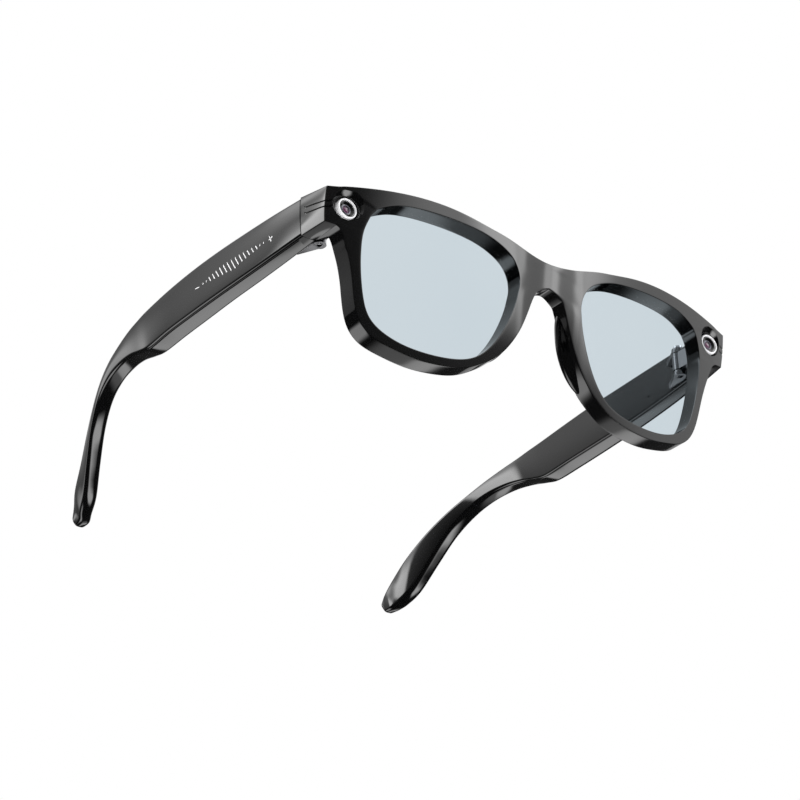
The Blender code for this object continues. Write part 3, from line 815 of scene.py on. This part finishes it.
# %% Seam and microphone hole
SEAM_FIRST, SEAM_LAST, SEAM_INSET, SEAM_RADIUS = 0.25, 6.9, 1.15, 0.2
MICROPHONE = (71.2, 32.6, -2.67)
MICROPHONE_DEPTH, MICROPHONE_RADIUS = 0.7, 0.45
SEAM_POINTS = 41
seam_path = []
for i in range(SEAM_POINTS):
    share = i / (SEAM_POINTS - 1)
    _, low, outer, _ = temple_station(SEAM_FIRST + (SEAM_LAST - SEAM_FIRST) * share)
    seam_path.append(temple_left.closest_point_on_mesh(at(outer - SEAM_INSET, *low))[1])
cut(temple_left, tube("cover_seam", seam_path, SEAM_RADIUS * MM))
smooth_shading(temple_left, 40)
temple_right = mirrored(temple_left, "temple_moulding_right")
hole_x, hole_y, hole_z = MICROPHONE
hole_ends = ((hole_x - 1, hole_y, hole_z), (hole_x + MICROPHONE_DEPTH, hole_y, hole_z))
cut(temple_left, bar("microphone_hole", *hole_ends, MICROPHONE_RADIUS, 24))
for label, piece in (("left", temple_left), ("right", temple_right)):
    replaced = (f"temple_shell_{label}", f"temple_cover_{label}")
    dress(piece, GLOSS_BLACK, f"temple_{label}", "gloss_black", *replaced)

# %% [markdown]
# ## Nose pads
#
# The pads are moulded with the front: each side of the nose gap swells backwards into a long low
# cushion. A stretched sphere would leave the rim at its ends, because the gap is curved, so a
# rounded section is extruded along the gap instead, and shrinks into the rim at both ends.

# %% Nose pads
PAD_FIRST, PAD_LAST, PAD_SECTIONS = 19.0, 23.4, 28
# The section: how far out of the rim's side, and how far behind the face.
PAD_SECTION = (
    (-0.15, 0.5), (0.0, 1.4), (0.3, 2.5), (0.75, 3.7), (1.0, 5.0), (0.8, 6.2),
    (0.1, 7.0), (-1.0, 7.2), (-2.2, 6.6), (-2.6, 4.5), (-1.8, 1.6),
)
PAD_HEART = Vector((-1.2, 3.6))
PAD_ARCS = 4


def pad_ring(place, size):
    outer = [Vector(row[2:4]) for row in RIM_STATIONS]
    marks = [row[4] for row in RIM_STATIONS]
    i = int(place)
    here = curve_point(outer, marks, i, place - i)
    beyond = curve_point(outer, marks, i, place - i + 0.05)
    along = (beyond - here).normalized()
    outward = Vector((along.y, -along.x))
    if outward.x > 0:
        outward.negate()
    section = [Vector(point) for point in PAD_SECTION]
    ring = []
    for k in range(len(section)):
        for step in range(PAD_ARCS):
            point = curve_point(section, [SMOOTH] * len(section), k, step / PAD_ARCS)
            out, behind = PAD_HEART.lerp(point, size)
            x, z = here + outward * out
            ring.append(at(x, face_y(here.x, here.y) + behind, z))
    return ring


rings = []
for i in range(PAD_SECTIONS + 1):
    share = i / PAD_SECTIONS
    size = max(0.05, 1 - (2 * share - 1) ** 2) ** 0.6
    rings.append(pad_ring(PAD_FIRST + share * (PAD_LAST - PAD_FIRST), size))
pad_left = ring_of("nose_swelling_left", rings[0])
select_all_of(pad_left)
cap(pad_left)
select_all_of(pad_left)
for before, after in zip(rings, rings[1:]):
    grow(pad_left, before, after)
face_outwards(pad_left)
smooth_shading(pad_left, 60)
pad_right = mirrored(pad_left, "nose_swelling_right")
dress(pad_left, GLOSS_BLACK, "front", "gloss_black", "nose_pad_left")
dress(pad_right, GLOSS_BLACK, "front", "gloss_black", "nose_pad_right")

# %% [markdown]
# ## Cameras
#
# Each camera is a white ring, a black cone inside it, a fine grey ring and a domed lens with a
# coating. They are turned parts, so each is a profile spun round the camera's axis.

# %% Camera parts
CAMERA_SEAT = 2.6


def turned(name, profile, side):
    """A profile of (radius, depth behind the hollow's floor) spun round a camera's axis."""
    y = face_y(CAMERA_X, 0) + CAMERA_SEAT
    x = side * CAMERA_X
    deselect()
    bpy.ops.mesh.primitive_circle_add(vertices=len(profile), radius=0.01)
    obj = bpy.context.object
    obj.name = obj.data.name = name
    for vertex, (radius, depth) in zip(obj.data.vertices, profile):
        vertex.co = at(x + radius, y + depth, 0)
    bpy.ops.object.mode_set(mode="EDIT")
    bpy.ops.mesh.select_all(action="SELECT")
    bpy.ops.mesh.spin(steps=72, angle=2 * math.pi, center=at(x, y, 0), axis=(0, 1, 0))
    bpy.ops.object.mode_set(mode="OBJECT")
    return smooth_shading(face_outwards(obj), 35)


RING = ((2.62, -0.3), (2.62, -2.05), (2.72, -2.22), (2.88, -2.28), (3.02, -2.22), (3.12, -2.05),
        (3.18, -1.8), (3.18, -0.3))
BEZEL = ((2.61, -0.25), (2.61, -1.75), (2.5, -1.85), (2.36, -1.85), (1.95, -1.6), (1.62, -1.45),
         (1.60, -1.35), (1.15, -1.35), (1.15, -0.25))
GREY = ((1.12, -1.33), (1.14, -1.47), (1.28, -1.53), (1.42, -1.47), (1.44, -1.33))
DOME = ((0.0, -1.61), (0.3, -1.58), (0.6, -1.49), (0.85, -1.38), (1.1, -1.25), (1.1, -0.3), (0.0, -0.3))
for label, side in SIDES:
    ring = turned(f"white_ring_{label}", RING, side)
    dress(ring, WHITE_TRIM, "front", "white_trim", f"camera_ring_{label}")
    bezel = turned(f"camera_bezel_{label}", BEZEL, side)
    dress(bezel, GLOSS_BLACK, "front", "satin_black", f"camera_module_{label}")
    grey = turned(f"lens_ring_{label}", GREY, side)
    dress(grey, LENS_RING, "front", "satin_black")
    dome = turned(f"camera_dome_{label}", DOME, side)
    dress(dome, CAMERA_GLASS, "front", "window_glass", f"camera_window_{label}")

# %% [markdown]
# ## Touch slider
#
# The slider on the wearer's right temple is printed: a plus, a row of leaning bars that swell in
# the middle, and a minus. Each mark is a thin rounded bar laid on the surface under it.

# %% Slider marks
BAR_START, BAR_PITCH = 30.9, 1.79
BAR_HEIGHTS = (1.3, 1.6, 1.9, 2.4, 2.8, 3.1, 4.4, 4.0, 3.2, 3.0, 2.3, 1.8, 1.5)
SLIDER_LEVEL, BAR_LEAN, BAR_WIDTH = -0.55, 0.62, 0.34


def surface_point(skin, side, y, z):
    """A point of the temple's outer face."""
    return skin.closest_point_on_mesh(at(side * 80, y, z))[1]


def mark(skin, start, end, wide):
    """A capsule lying on the skin between two (y, z) points."""
    a, b = (surface_point(skin, RIGHT, *place) for place in (start, end))
    middle = surface_point(skin, RIGHT, (start[0] + end[0]) / 2, (start[1] + end[1]) / 2)
    deselect()
    bpy.ops.mesh.primitive_cylinder_add(vertices=16, radius=wide / 2 * MM, depth=0.1 * MM)
    obj = bpy.context.object
    half = (b - a) / 2
    ahead = Vector((0, half.y, half.z))
    for vertex in obj.data.vertices:
        flat = Vector((0, vertex.co.x, vertex.co.y))
        shift = ahead if flat.dot(ahead) > 0 else -ahead
        vertex.co = middle + flat + shift + Vector((vertex.co.z, 0, 0))
    return obj


marks = [
    mark(temple_right, (23.85, -0.45), (25.8, -0.8), 0.3),
    mark(temple_right, (25.2, 0.35), (24.45, -1.55), 0.3),
    mark(temple_right, (57.6, -0.75), (59.4, -0.5), 0.3),
]
for y in (27.7, 29.3, 54.0, 55.6):
    marks.append(mark(temple_right, (y, SLIDER_LEVEL + 0.05), (y + 0.05, SLIDER_LEVEL - 0.05), 0.42))
for i, height in enumerate(BAR_HEIGHTS):
    y = BAR_START + i * BAR_PITCH
    lean = BAR_LEAN * height / 2
    top = (y + lean * 0.9, SLIDER_LEVEL + height / 2)
    marks.append(mark(temple_right, top, (y - lean * 0.9, SLIDER_LEVEL - height / 2), BAR_WIDTH))
deselect()
for piece in marks:
    piece.select_set(True)
bpy.context.view_layer.objects.active = marks[0]
bpy.ops.object.join()
slider = bpy.context.object
slider.name = slider.data.name = "slider_print"
face_outwards(slider)
dress(slider, PRINT_WHITE, "temple_right", "white_trim")

# %% [markdown]
# ## Hinges
#
# The temple's half of the hinge is a lug with a round eye, seen under the corner block. A plate is
# rounded at the eye, bored for the screw, and runs back into the temple.

# %% Temple lugs
LUG_LEVELS = ((-5.0, -3.5), (2.7, 4.2))
LUG_REACH, LUG_SPLAY = 22.0, 4.0
EYE_RADIUS, BORE_RADIUS = 2.0, 0.75


def lug(name, side, low, high):
    """A plate round the hinge screw's axis, with an arm that splays out into the temple."""
    x = side * HINGE_X
    plate = bar(name, (x, HINGE_Y, low), (x, HINGE_Y, high), EYE_RADIUS)
    arm_start = (side * (HINGE_X - 1.9), HINGE_Y, low)
    arm = block(f"{name}_arm", arm_start, (side * (HINGE_X + EYE_RADIUS), LUG_REACH, high))
    for vertex in arm.data.vertices:
        if vertex.co.y > at(0, LUG_REACH - 1, 0).y:
            vertex.co.x += side * LUG_SPLAY * MM
    cut(plate, arm, "UNION")
    hole = bar(f"{name}_hole", (x, HINGE_Y, low - 1), (x, HINGE_Y, high + 1), BORE_RADIUS)
    cut(plate, hole)
    add_bevel(plate, 0.2, 2, 40)
    return smooth_shading(apply_modifiers(plate), 35)


for label, side in SIDES:
    lugs = [lug(f"temple_lug_{label}_{i}", side, *level) for i, level in enumerate(LUG_LEVELS)]
    deselect()
    for piece in lugs:
        piece.select_set(True)
    bpy.context.view_layer.objects.active = lugs[0]
    bpy.ops.object.join()
    dress(lugs[0], HINGE_BLACK, f"temple_{label}", "hinge_metal", f"hinge_temple_{label}")

# %% [markdown]
# ## What stays from the model
#
# The pieces inside the temples, the hinges and the contacts already have their real shape, so they
# only get a finish.

# %% Finishes for the model's own pieces
CARRIED = {
    "brow_cover": SATIN_BLACK,
    "front_flex_cable": FLEX,
    "touch_sensor_right": FLEX,
    "main_board_right": BOARD,
    "battery_left": FOIL,
    "charging_contact_1": GOLD,
    "charging_contact_2": GOLD,
    "capture_button": GLOSS_BLACK,
}
for label, _ in SIDES:
    CARRIED[f"speaker_{label}"] = SATIN_BLACK
    CARRIED[f"hinge_front_{label}"] = HINGE_BLACK
    CARRIED[f"hinge_screw_{label}"] = SCREW_STEEL
for name, material in CARRIED.items():
    node = NODES[name]
    node.data.materials.clear()
    node.data.materials.append(material)

# %% [markdown]
# ## Floor and light
#
# A pale floor lies well below. Polished black shows whatever stands round it, so the studio is a
# dark room with soft panels: each one puts its highlight on one side of the glasses. The floor
# stays out of those mirror images, and panels below the horizon take its place there.

# %% Floor
FLOOR_SIZE, FLOOR_LEVEL = 16, -0.62
deselect()
bpy.ops.mesh.primitive_plane_add(size=FLOOR_SIZE, location=(0, 0, FLOOR_LEVEL))
floor = bpy.context.object
floor.name = "studio_floor"
material, tree, shader = new_material("pale_floor")
pale = tint(tree, noise(tree, 3, 2), (0.80, 0.80, 0.80), (0.84, 0.84, 0.84))
tree.links.new(pale, shader.inputs["Base Color"])
shader.inputs["Roughness"].default_value = 0.9
floor.data.materials.append(material)
floor.visible_glossy = False

# %% Studio light
world = bpy.data.worlds.new("studio")
bpy.context.scene.world = world
world.use_nodes = True
tree = world.node_tree
direction = tree.nodes.new("ShaderNodeTexCoord").outputs["Generated"]


def math_node(operation, *values):
    node = tree.nodes.new("ShaderNodeMath")
    node.operation = operation
    for socket, value in zip(node.inputs, values):
        if isinstance(value, (int, float)):
            socket.default_value = value
        else:
            tree.links.new(value, socket)
    return node.outputs["Value"]


def along(axis):
    node = tree.nodes.new("ShaderNodeVectorMath")
    node.operation = "DOT_PRODUCT"
    tree.links.new(direction, node.inputs[0])
    node.inputs[1].default_value = axis
    return node.outputs["Value"]


def fade(place, edge):
    """Full light on a panel, which falls off over its edge."""
    node = tree.nodes.new("ShaderNodeMapRange")
    node.interpolation_type = "SMOOTHSTEP"
    for name, value in (("From Min", 1 + edge), ("From Max", 1 - edge), ("To Min", 0), ("To Max", 1)):
        node.inputs[name].default_value = value
    tree.links.new(math_node("ABSOLUTE", place), node.inputs["Value"])
    return node.outputs["Result"]


def softbox(turn, rise, wide, tall, side_edge, level_edge, strength):
    """The light of one panel: where it hangs, its half sizes in degrees, how softly it ends."""
    turn, rise = math.radians(turn), math.radians(rise)
    out = Vector((math.sin(turn) * math.cos(rise), -math.cos(turn) * math.cos(rise), math.sin(rise)))
    level = Vector((math.cos(turn), math.sin(turn), 0))
    across = math_node("DIVIDE", along(level), math.sin(math.radians(wide)))
    above = math_node("DIVIDE", along(out.cross(level)), math.sin(math.radians(tall)))
    light = math_node("MULTIPLY", fade(across, side_edge), fade(above, level_edge))
    light = math_node("MULTIPLY", light, math_node("GREATER_THAN", along(out), 0.0))
    return math_node("MULTIPLY", light, strength)


# Turn, rise, half width, half height, softness of the sides and of the level edges, strength.
SOFTBOXES = (
    (29.5, 30, 14, 20, 0.45, 0.12, 2.6),
    (35, 30, 8, 20, 0.25, 0.12, 2.4),
    (30.5, 30, 3, 20, 0.6, 0.12, 1.6),
    (60, 22, 14, 20, 0.4, 0.3, 1.1),
    (100, 46, 24, 20, 0.5, 0.5, 2.0),
    (-119, 52, 13, 14, 0.4, 0.4, 7.0),
    (-121, 25, 7, 8, 0.4, 0.4, 6.5),
    (-134, 34, 7, 9, 0.8, 0.8, 0.4),
    (-160, 22, 9, 7, 0.7, 0.7, 1.6),
    (0, 88, 50, 50, 0.4, 0.4, 1.1),
    (147, -30, 12, 6, 0.4, 0.35, 1.5),
    (145, -38, 16, 13, 0.4, 0.4, 0.9),
    (-150, -34, 14, 11, 0.35, 0.35, 3.2),
    (36, -50, 16, 12, 0.5, 0.5, 6.5),
)
ROOM_LIGHT = 0.05
total = ROOM_LIGHT
for box in SOFTBOXES:
    total = math_node("ADD", softbox(*box), total)
seen = tree.nodes.new("ShaderNodeLightPath").outputs["Is Camera Ray"]
total = math_node("ADD", math_node("MULTIPLY", total, math_node("SUBTRACT", 1.0, seen)), seen)
background = tree.nodes["Background"]
background.inputs["Color"].default_value = (1, 1, 1, 1)
tree.links.new(total, background.inputs["Strength"])
bpy.context.scene.view_settings.view_transform = "Standard"
